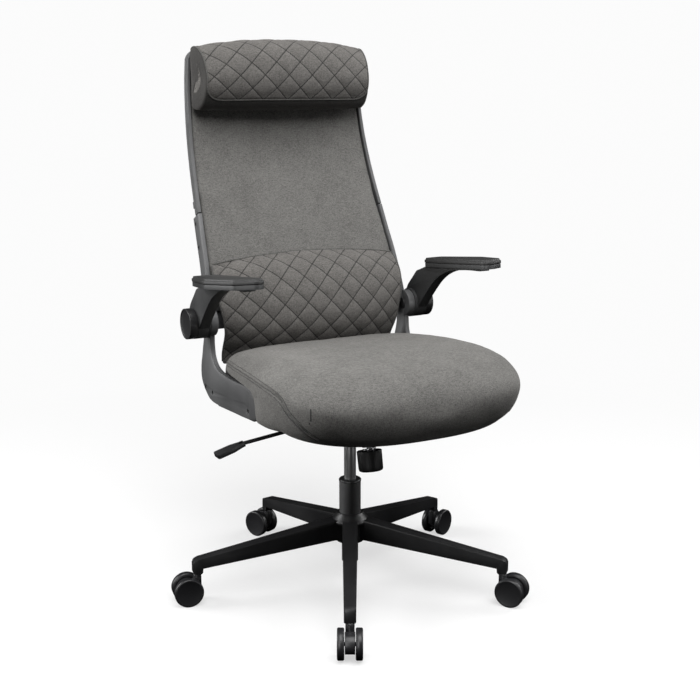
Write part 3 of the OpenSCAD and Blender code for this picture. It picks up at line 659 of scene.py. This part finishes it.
def make_seat():
    n = 92
    shrink = 0.003
    levels = catmull([(0.026, 0.058, 0.0, 2.6), (0.011, 0.043, 0.0, 2.55), (0.003, 0.034, 0.06, 2.6),
                      (0, 0.020, 0.2, 2.87), (0, 0.006, 0.42, 3.15), (0, 0.001, 0.62, 3.25),
                      (0.003, 0.008, 0.78, 3.0), (0.012, 0.026, 0.91, 2.6), (0.030, 0.048, 0.985, 2.45)], 4)
    rings = []
    for side, front, share, blunt in levels:
        o = seat_outline(side + shrink, front + shrink, blunt, 4 * n)
        rings.append(np.column_stack([o, seat_height(o[:, 1], max(share, 0))]))
    top = rings[-1]
    share_top = levels[-1][2]
    centre = np.array([0, SEAT_MID])
    verts, index = [], {}
    for i in range(n + 1):
        for j in range(n + 1):
            u, v = 2 * i / n - 1, 2 * j / n - 1
            m = max(abs(u), abs(v))
            if m == 0:
                xy = centre
            else:
                if v == -m:
                    s = u / m / 2
                elif u == m:
                    s = 1 + v / m / 2
                elif v == m:
                    s = 2 - u / m / 2
                else:
                    s = 3 - v / m / 2
                k = (s % 4) * n
                k0 = int(math.floor(k + 1e-9))
                f = k - k0
                p = top[k0 % (4 * n), :2] * (1 - f) + top[(k0 + 1) % (4 * n), :2] * f
                xy = centre + m * (p - centre)
            share = share_top + (1.03 - share_top) * (1 - m ** 5)
            index[i, j] = len(verts)
            verts.append((xy[0], xy[1], float(seat_height(xy[1], share))))
    faces = [(index[i, j], index[i + 1, j], index[i + 1, j + 1], index[i, j + 1]) for i in range(n) for j in range(n)]
    for r in range(len(rings) - 1):
        base = len(verts)
        verts += [tuple(p) for p in rings[r]] + [tuple(p) for p in rings[r + 1]]
        q = 4 * n
        faces += [(base + k, base + (k + 1) % q, base + q + (k + 1) % q, base + q + k) for k in range(q)]
    base = len(verts)
    q = 4 * n
    under = np.column_stack([rings[0][:, :2], np.full(q, UNDERSIDE)])
    verts += [tuple(p) for p in rings[0]] + [tuple(p) for p in under] + [(0, SEAT_MID, UNDERSIDE)]
    faces += [(base + q + k, base + q + (k + 1) % q, base + (k + 1) % q, base + k) for k in range(q)]
    faces += [(base + q + (k + 1) % q, base + q + k, base + 2 * q) for k in range(q)]
    obj = weld(new_object("seat_pad", from_seat(verts), faces, FABRIC), 2e-5)
    p = to_seat(coords(obj))
    # the welt where the side band meets the top, from the back edge round to the front corner
    seam = catmull([(0.205, 0.160, 0.086), (0.224, 0.150, 0.090), (0.2405, 0.110, 0.0965),
                    (0.254, 0.070, 0.101), (0.262, 0.010, 0.1005), (0.2665, -0.055, 0.0955),
                    (0.269, -0.130, 0.0890), (0.2665, -0.187, 0.0810), (0.261, -0.220, 0.0700),
                    (0.2515, -0.238, 0.0510), (0.2430, -0.258, 0.0310), (0.2350, -0.270, 0.0130),
                    (0.2280, -0.282, -0.0060), (0.2240, -0.287, -0.0170)], 10)
    tree = KDTree(len(seam))
    for i, q in enumerate(seam):
        tree.insert(q, i)
    tree.balance()
    near = np.array([tree.find((abs(q[0]), q[1], q[2]))[2] for q in p])
    notch = smooth_step(p[:, 1], -0.130, -0.095) * smooth_step(np.abs(p[:, 0]), 0.215, 0.232) * (p[:, 2] < 0.080)
    low = seat_height(p[:, 1], 0.0)
    pin = np.maximum.reduce([1 - smooth_step(p[:, 2] - low, 0.004, 0.03), 0.75 * np.exp(-(near / 0.009) ** 2), notch])
    inflate(obj, pin, pressure=3.5, cap=0.006, steps=14)
    subdivide(obj)
    p = to_seat(coords(obj))
    near = np.array([tree.find((abs(q[0]), q[1], q[2]))[2] for q in p])
    nor = normals(obj)
    wave = ripple(coords(obj), 11, 1) * 0.0016 + ripple(coords(obj), 34, 4) * 0.0005
    pull = np.exp(-(near / 0.018) ** 2) * ripple(coords(obj) * np.array([1, 1, 0.2]), 60, 9) * 0.0006
    sink = 0.0022 * np.exp(-(near / 0.0032) ** 2)
    hold = smooth_step(p[:, 2] - seat_height(p[:, 1], 0.0), 0.002, 0.02)
    set_coords(obj, coords(obj) + nor * ((wave * hold + pull - sink))[:, None])
    # room for the side brackets
    notch_line = [(-0.099, 0.395), (-0.101, 0.440), (-0.099, 0.462), (-0.090, 0.478), (-0.074, 0.486), (-0.02, 0.487),
                  (0.060, 0.486), (0.098, 0.487), (0.126, 0.491), (0.146, 0.499), (0.158, 0.512), (0.165, 0.530),
                  (0.300, 0.530), (0.300, 0.395)]
    for s in (-1, 1):
        cut = prism("cutter", notch_line, s * NOTCH_SIDE, s * 0.320)
        m = obj.modifiers.new("notch", "BOOLEAN")
        m.operation, m.solver, m.object = "DIFFERENCE", "EXACT", cut
        apply_modifiers(obj)
        bpy.data.objects.remove(cut)
    obj.data.materials.append(DARK_CLOTH)
    for f in obj.data.polygons:
        q = to_seat(np.array(f.center)[None])[0]
        x, nx, nz = abs(f.center[0]), abs(f.normal[0]), f.normal[2]
        walls = abs(x - NOTCH_SIDE) < 0.0006 and nx > 0.8
        low = nz < -0.8 and ((q[2] < 0.0015 and q[1] > -0.2) or abs(q[2] - UNDERSIDE) < 0.0005)
        inner = x > NOTCH_SIDE + 0.0001 and q[1] > -0.11 and q[2] < 0.085 and nx < 0.35 and nz < 0.5
        f.material_index = 1 if walls or low or inner else 0
    sharp(obj, 48)
    finish_soft(obj, "seat_upholstery", "seat_cushion")
    bits, rows = [], []
    for s in (-1, 1):
        line = from_seat(seam * np.array([s, 1, 1]))
        path, n = on_skin(obj, even(line, 0.003), 0.0002)
        bits.append(tube("welt", path, 0.0016, PIPING, 8))
        for off in (-0.0058, 0.0058):
            row, rn = on_skin(obj, beside(path, n, off))
            rows.append(stitches("row", row, rn))
    trim(join("seat_seam_line", bits))
    trim(join("seat_seam_stitches", rows))
    return obj


make_seat()


# ---- back pad between the rails

def pad_edge(z):
    """Room left at each side of the pad for the rail, and lower down for the bracket."""
    return np.interp(z, [0.600, 0.640, 0.700, 0.838, 0.850, 1.118, 1.135],
                     [0.0144, 0.0134, 0.0116, 0.0116, 0.0098, 0.0098, 0.0158])


def make_back_pad():
    zs = np.concatenate([np.arange(0.640, 1.120, 0.0075), np.linspace(1.120, 1.1345, 5)])
    rings = []
    for z in zs:
        w = float(half_w(z)) - pad_edge(z)
        x = np.linspace(-w + 0.006, w - 0.006, 58)
        front = 0.0030 - 0.0022 * (1 - (x / w) ** 4)
        ring = list(zip(x, front))
        for a in (20, 50, 80):
            r = math.radians(a)
            ring.append((w - 0.006 + 0.006 * math.sin(r), 0.0090 - 0.006 * math.cos(r)))
        ring += [(w, 0.012), (w - 0.002, 0.0152)]
        ring += [(q, 0.0155) for q in np.linspace(w - 0.02, -w + 0.02, 16)]
        ring += [(-w + 0.002, 0.0152), (-w, 0.012)]
        for a in (80, 50, 20):
            r = math.radians(a)
            ring.append((-w + 0.006 - 0.006 * math.sin(r), 0.0090 - 0.006 * math.cos(r)))
        ring = np.array(ring)
        rings.append(on_back(ring[:, 0], z, ring[:, 1]))
    obj = loft("back_fabric", rings, FABRIC)
    co = coords(obj)
    w = half_w(co[:, 2]) - pad_edge(co[:, 2])
    pin = np.maximum(smooth_step(np.abs(co[:, 0]), w - 0.012, w - 0.003),
                     smooth_step(np.abs(co[:, 2] - 0.885), 0.230, 0.245))
    inflate(obj, pin, pressure=2.0, cap=0.0035, steps=10, stiffness=20)
    subdivide(obj)
    co = coords(obj)
    move = ripple(co * np.array([1, 1, 0.6]), 9, 3) * 0.0013 + ripple(co, 40, 5) * 0.0003
    set_coords(obj, co + normals(obj) * move[:, None])
    return finish_soft(obj, "back_upholstery", "back_pad")


make_back_pad()


# ---- lumbar pad

def make_lumbar():
    zt = np.array([0.470, 0.495, 0.505, 0.520, 0.550, 0.575, 0.600, 0.630, 0.660, 0.680, 0.691, 0.698])
    et = np.array([32, 29, 26, 19, 0, -9, -14, -15.5, -14, -9, -4.5, -2]) * MM
    tt = np.array([22, 27, 31, 34, 37, 35, 33, 31, 26, 19, 11, 3]) * MM
    wt = np.array([0.210, 0.2115, 0.212, 0.2125, 0.214, 0.218, 0.223, 0.2290, 0.2300, 0.2275, 0.2255, 0.2235])
    rows = np.concatenate([np.linspace(0.470, 0.684, 44), [0.688, 0.691, 0.694, 0.6962, 0.698]])
    k = np.linspace(-1, 1, 84)
    u = np.sign(k) * (1 - (1 - np.abs(k)) ** 1.08)
    rings, keep = [], []
    for z in rows:
        fine = catmull(np.stack([zt, et, tt, wt], 1), 8)
        e, t, w = (float(np.interp(z, fine[:, 0], fine[:, c])) for c in (1, 2, 3))
        x = u * w
        lift = (z - 0.470) / 0.228
        zz = z + (0.0155 * (1 - np.abs(u) ** 2.0) - 0.0035) * lift ** 3
        d = e - t * (1 - np.abs(u) ** 2.6) ** 0.8
        front = on_back(x, zz, d)
        back = on_back(x[::-1][::3] * 0.985, z - 0.002 * lift, e + 0.007)
        rings.append(np.vstack([front, back]))
        keep.append(np.concatenate([x, x[::-1][::3]]))
    obj = loft("lumbar", rings, QUILT)
    n = len(rings[0])
    front_n = len(u)
    px, pv, panel, edge = [], [], [], []
    run = np.concatenate([[0], np.cumsum([np.linalg.norm(rings[i + 1][front_n // 2] - rings[i][front_n // 2])
                                          for i in range(len(rings) - 1)])])
    for i in range(len(rings)):
        across = np.concatenate([[0], np.cumsum(np.linalg.norm(np.diff(rings[i][:front_n], axis=0), axis=1))])
        across -= across[-1] / 2
        for j in range(n):
            if j < front_n:
                px.append(across[j])
                pv.append(run[i])
                edge.append(min(across[-1] - abs(across[j]), run[-1] - run[i]))
                panel.append(1)
            else:
                px.append(keep[i][j])
                pv.append(run[i])
                edge.append(0)
                panel.append(0)
    extra = len(obj.data.vertices) - len(px)
    for name, values in (("px", px), ("pv", pv), ("panel", panel), ("edge", edge)):
        put(obj, name, list(values) + [0.0] * extra)
    edge = get(obj, "edge")
    pin = np.maximum(1 - smooth_step(edge, 0.002, 0.014), 1 - smooth_step(coords(obj)[:, 2], 0.480, 0.510))
    inflate(obj, pin, pressure=3.0, cap=0.004, steps=12)
    subdivide(obj)
    edge = get(obj, "edge")
    diamonds(obj, 0.0560, 0.0600, 0.0042, edge)
    co = coords(obj)
    set_coords(obj, co + normals(obj) * (ripple(co, 26, 6) * 0.0009)[:, None])
    finish_soft(obj, "lumbar_upholstery", "lumbar_pad")
    bits = []
    for s in (-1, 1):
        line = []
        for i in range(2, len(rings) - 1):
            line.append(rings[i][0 if s < 0 else front_n - 1])
        path, _ = on_skin(obj, even(np.array(line), 0.004), 0.0008)
        bits.append(tube("side_piping", path, 0.0019, PIPING, 8))
    line = rings[-1][:front_n]
    path, _ = on_skin(obj, even(line, 0.004), 0.0006)
    bits.append(tube("top_piping", path, 0.0017, PIPING, 8))
    trim(join("lumbar_piping", bits))
    return obj


make_lumbar()


# ---- headrest cushion

def make_headrest():
    # side outlines (y, z) at the middle and the ends, from the lower back edge round the front to the upper one
    middle = catmull([(0.346, 1.021), (0.318, 1.019), (0.293, 1.027), (0.277, 1.042), (0.266, 1.064),
                      (0.262, 1.090), (0.265, 1.118), (0.275, 1.145), (0.291, 1.163), (0.314, 1.173),
                      (0.336, 1.172), (0.352, 1.163), (0.357, 1.148)], 9)
    end = catmull([(0.352, 1.024), (0.330, 1.021), (0.309, 1.029), (0.296, 1.041), (0.284, 1.060),
                   (0.279, 1.085), (0.284, 1.108), (0.296, 1.130), (0.312, 1.146), (0.332, 1.155),
                   (0.348, 1.155), (0.356, 1.150), (0.3575, 1.142)], 9)
    run = np.concatenate([[0], np.cumsum(np.linalg.norm(np.diff(middle, axis=0), axis=1))])
    zero = run[27]  # the panel's lower seam
    back = np.linspace(0, 1, 11)[1:-1, None]
    middle = np.vstack([middle, middle[-1] * (1 - back) + middle[0] * back])
    end = np.vstack([end, end[-1] * (1 - back) + end[0] * back])
    centre = np.array([0.318, 1.090])
    ends = [(0.976, 0.0), (0.984, 0.0005), (0.991, 0.0016), (0.996, 0.0032), (1.000, 0.0058), (1.0025, 0.011),
            (1.005, 0.019), (1.007, 0.028)]
    stations = [(-u, d) for u, d in reversed(ends)] + [(u, 0.0) for u in np.linspace(-0.966, 0.966, 78)] + ends
    rings = []
    for u, inset in stations:
        q = middle + (end - middle) * min(1, abs(u)) ** 2.4
        away = (q - centre) / np.linalg.norm(q - centre, axis=1, keepdims=True)
        x = u * (0.2000 + (q[:, 0] - 0.279) * 0.11)
        q = q - away * inset
        rings.append(np.column_stack([x, q]))
    obj = loft("headrest", rings, QUILT)
    px, pv = [], []
    for u, inset in stations:
        px += [u * 0.2] * len(middle)
        pv += list(run - zero) + [run[-1] - zero + 0.02] * len(back)
    extra = len(obj.data.vertices) - len(px)
    put(obj, "px", px + [0.3] * extra)
    put(obj, "pv", pv + [0.3] * extra)
    top = run[-1] - zero - 0.012
    wide = 0.1968

    def inside(x, v, r=0.036):
        # how far a place lies inside the sewn panel, whose lower corners are rounded
        x = np.abs(x)
        d = np.minimum(np.minimum(wide - x, v), top - v)
        corner = (x > wide - r) & (v < r)
        away = r - np.hypot(x - (wide - r), v - r)
        return np.where(corner, np.minimum(d, away), d)

    d = inside(get(obj, "px"), get(obj, "pv"))
    pin = np.maximum(0.9 * np.exp(-(d / 0.006) ** 2), smooth_step(coords(obj)[:, 1], 0.335, 0.345))
    inflate(obj, pin, pressure=3.0, cap=0.0035, steps=12)
    subdivide(obj)
    d = inside(get(obj, "px"), get(obj, "pv"))
    put(obj, "panel", smooth_step(d, -0.0012, 0.0012))
    co = coords(obj)
    # even out the skin at the middle of each end
    for s in (-1, 1):
        end_on = co[:, 0] * s > 0.199
        hub = co[end_on][:, 1:].mean(0)
        reach = np.hypot(co[:, 1] - hub[0], co[:, 2] - hub[1])
        ring = end_on & (reach > 0.014) & (reach < 0.022)
        flat = end_on & (reach < 0.018)
        around = np.column_stack([np.ones(ring.sum()), co[ring, 1:]])
        plane = np.linalg.lstsq(around, co[ring, 0], rcond=None)[0]
        level = plane[0] + co[flat, 1:] @ plane[1:]
        co[flat, 0] += (level - co[flat, 0]) * (1 - smooth_step(reach[flat], 0.014, 0.018))
    set_coords(obj, co)
    set_coords(obj, co - normals(obj) * (0.0014 * np.exp(-(d / 0.004) ** 2))[:, None])
    diamonds(obj, 0.0573, 0.0570, 0.0022, np.maximum(d, 0), -0.011)
    co = coords(obj)
    set_coords(obj, co + normals(obj) * (ripple(co, 24, 8) * 0.0009)[:, None])
    finish_soft(obj, "headrest_upholstery", "headrest_pad")
    r = 0.036
    turn = np.linspace(0, math.pi / 2, 14)[1:]
    path = [(-wide, v) for v in np.linspace(top - 0.004, r, 36)]
    path += [(-wide + r - r * math.cos(a), r - r * math.sin(a)) for a in turn]
    path += [(x, 0) for x in np.linspace(-wide + r, wide - r, 80)[1:]]
    path += [(wide - r + r * math.sin(a), r - r * math.cos(a)) for a in turn]
    path += [(wide, v) for v in np.linspace(r, top - 0.004, 36)[1:]]
    trim(tube("headrest_piping", even(place(obj, path, lift=0.0009), 0.004), 0.0016, PIPING, 8))
    return obj


make_headrest()


# ---------------------------------------------------------------- hard parts

def shell(names, material, slot, width=0.0008, **extra):
    for n in names:
        soften(n, material, slot, width, **extra)


shell(["star_base"], NYLON, "base_nylon", 0.0016, segments=3)
shell(["castor_hood_%d" % k for k in range(1, 6)], CASTOR, "castor_plastic", 0.0008)
shell(["wheel_%d%s" % (k, s) for k in range(1, 6) for s in "ab"], CASTOR, "castor_plastic", 0.0)
shell(["stand_tube"], TUBE, "black_steel", 0.0)
shell(["gas_cylinder"], SATIN, "black_steel", 0.0)
shell(["mechanism_housing", "tilt_plate"], STEEL_BLACK, "black_steel", 0.0008)
shell(["lever_rod"], STEEL_BLACK, "black_steel", 0.0)
shell(["guide_bush"], SOFT_BLACK, "black_plastic", 0.0)
shell(["tension_knob"], KNOB, "black_plastic", 0.0)
shell(["lever_cam", "lever_paddle"], SOFT_BLACK, "black_plastic", 0.0009)
shell(["side_screws", "arm_pivots"], SOFT_BLACK, "black_plastic", 0.0003)
shell(["castor_stems", "thrust_bearing", "rod_clip", "tilt_pin", "plate_bolts", "tension_stud", "spring_washer",
       "bracket_bolts", "valve_button"], ZINC, "zinc_steel", 0.0002)
shell(["tension_spring"], ZINC, "zinc_steel", 0.0)
shell(["piston_rod"], CHROME, "rod_chrome", 0.0002)
shell(["right_bracket", "left_bracket"], FRAME, "frame_plastic", 0.0018, segments=3, angle=34)
shell(["back_frame"], FRAME, "frame_plastic", 0.0007, segments=2, angle=34)
shell(["back_shell", "back_yoke"], FRAME, "frame_plastic", 0.0012)
shell(["seat_board"], WOOD, "board_wood", 0.0005)
for side in ("right", "left"):
    shell([side + "_arm_stalk"], ARM, "frame_plastic", 0.0022, segments=3, angle=24)
    shell([side + "_arm_plate"], ARM, "frame_plastic", 0.0022, segments=3)
    shell([side + "_arm_pad"], PAD, "pad_foam", 0.0022, segments=3)
    shell([side + "_arm_cap"], SOFT_BLACK, "frame_plastic", 0.0012, segments=3)
    shell([side + "_arm_screws"], ZINC, "zinc_steel", 0.0002)


# ---------------------------------------------------------------- studio

def area_light(name, at, aim, size, power, size_y=None):
    data = bpy.data.lights.new(name, "AREA")
    data.shape = "RECTANGLE"
    data.size, data.size_y = size, size_y or size
    data.energy = power
    obj = bpy.data.objects.new(name, data)
    bpy.context.scene.collection.objects.link(obj)
    obj.location = at
    obj.rotation_euler = (Vector(aim) - Vector(at)).to_track_quat("-Z", "Y").to_euler()
    return obj


def floor_material():
    """Matt pale floor, brought up to the brightness of the backdrop and merging with it away from the chair."""
    m, t, s = nodes_of("pale_floor")
    s.inputs["Base Color"].default_value = (0.42, 0.42, 0.42, 1)
    s.inputs["Roughness"].default_value = 0.9
    s.inputs["Specular IOR Level"].default_value = 0.1
    s.inputs["Emission Color"].default_value = (1, 1, 1, 1)
    s.inputs["Emission Strength"].default_value = 0.58
    far = t.nodes.new("ShaderNodeEmission")
    far.inputs["Strength"].default_value = BACKDROP
    coord = t.nodes.new("ShaderNodeTexCoord")
    length = t.nodes.new("ShaderNodeVectorMath")
    length.operation = "LENGTH"
    link(t, coord.outputs["Object"], length.inputs[0])
    mix = t.nodes.new("ShaderNodeMixShader")
    link(t, remap(t, length.outputs["Value"], 0.7, 1.9, 0, 1), mix.inputs[0])
    link(t, s.outputs[0], mix.inputs[1])
    link(t, far.outputs[0], mix.inputs[2])
    out = next(n for n in t.nodes if n.type == "OUTPUT_MATERIAL")
    link(t, mix.outputs[0], out.inputs["Surface"])
    m.cycles.emission_sampling = "NONE"
    return m


BACKDROP = 0.97
floor = new_object("floor", [(-9, -9, 0), (9, -9, 0), (9, 9, 0), (-9, 9, 0)], [(0, 1, 2, 3)], floor_material())
floor.visible_diffuse = False
floor.visible_glossy = False

world = bpy.data.worlds.new("studio")
bpy.context.scene.world = world
world.use_nodes = True
world.node_tree.nodes["Background"].inputs[0].default_value = (1, 1, 1, 1)
world.node_tree.nodes["Background"].inputs[1].default_value = BACKDROP
world.cycles_visibility.diffuse = False
world.cycles_visibility.glossy = False
area_light("key_above", (-0.4, -1.45, 3.25), (0, 0, 0.5), 2.9, 134)
area_light("low_fill", (1.6, -3.0, 0.4), (0, 0, 0.8), 1.0, 5)
area_light("right_rim", (3.0, -0.2, 2.1), (0, 0, 0.7), 1.5, 52, 2.2)
area_light("left_rim", (-2.7, 1.5, 1.5), (0, 0, 0.6), 1.4, 88, 2.0)
for name, at, power in (("left_card", (-2.4, -2.2, 1.3), 40), ("right_card", (2.0, -2.4, 1.3), 22)):
    card = area_light(name, at, (0, 0, 0.5), 0.7, power, 2.2)
    card.visible_diffuse = False

camera_data = bpy.data.cameras.new("camera")
camera_data.lens = 60.6
camera_data.sensor_width = 36
camera = bpy.data.objects.new("camera", camera_data)
bpy.context.scene.collection.objects.link(camera)
camera.location = (-1.1442, -2.1519, 1.0768)
camera.rotation_euler = (math.radians(90 - 12.734), 0, math.radians(-28))
bpy.context.scene.camera = camera
bpy.context.scene.view_settings.view_transform = "Standard"
